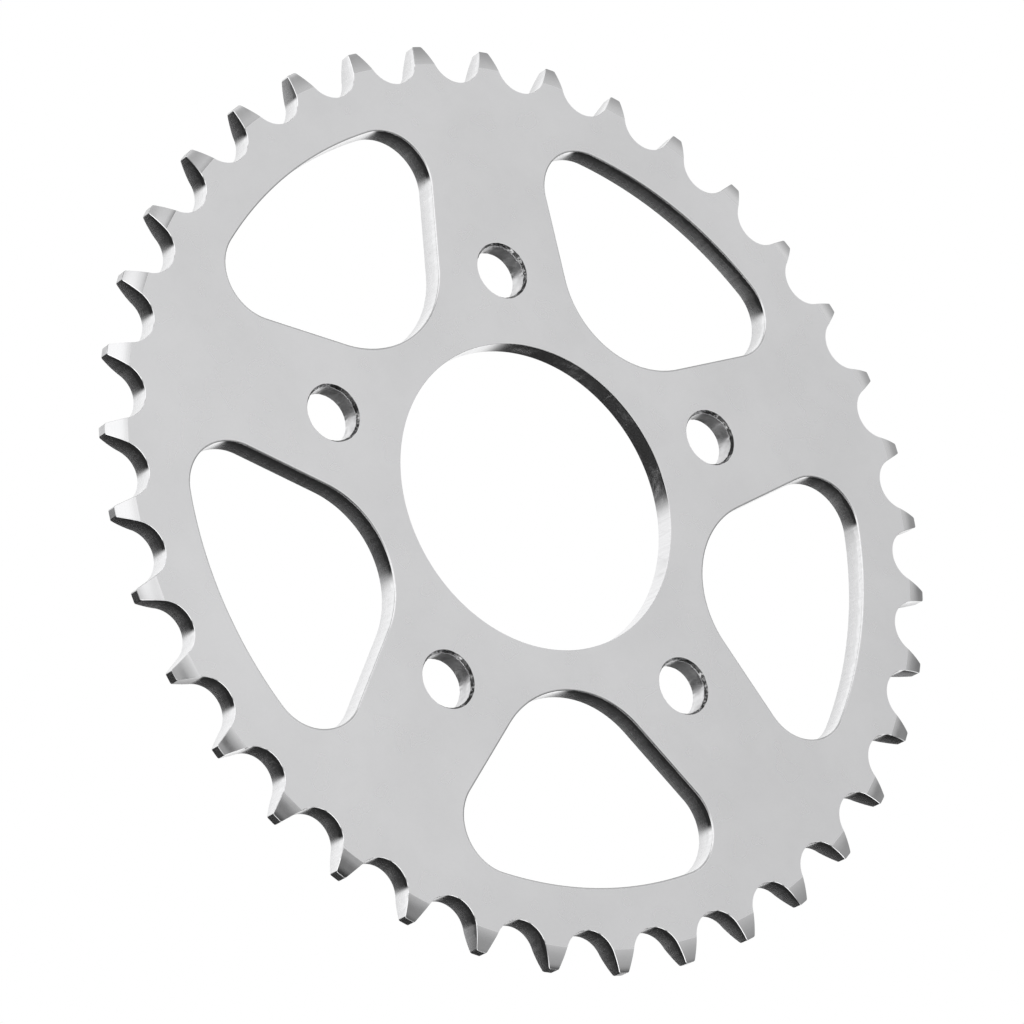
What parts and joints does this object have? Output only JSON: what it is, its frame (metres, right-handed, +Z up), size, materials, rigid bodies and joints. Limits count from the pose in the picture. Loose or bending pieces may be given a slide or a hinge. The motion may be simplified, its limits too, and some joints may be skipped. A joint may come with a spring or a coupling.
{
  "type": "motorcycle rear sprocket",
  "caption": "Flat toothed steel ring that bolts to a rear wheel hub and is driven by a roller chain, with a round hub bore, bolt holes and rounded lightening windows.",
  "frame": {"origin": "on the sprocket's axis, half way through the plate's thickness", "axes": "+Y along the sprocket's axis, out of its hub side, so the front face looks along -Y; +Z up, with one bolt hole and one tooth gap straight below the axis"},
  "size_m": [0.193, 0.0048, 0.1929],
  "materials": {
    "plated_steel": "satin light grey faces, bright cut edges"
  },
  "bodies": {
    "root": {"sprocket_plate": "plated_steel"}
  },
  "joints": []
}
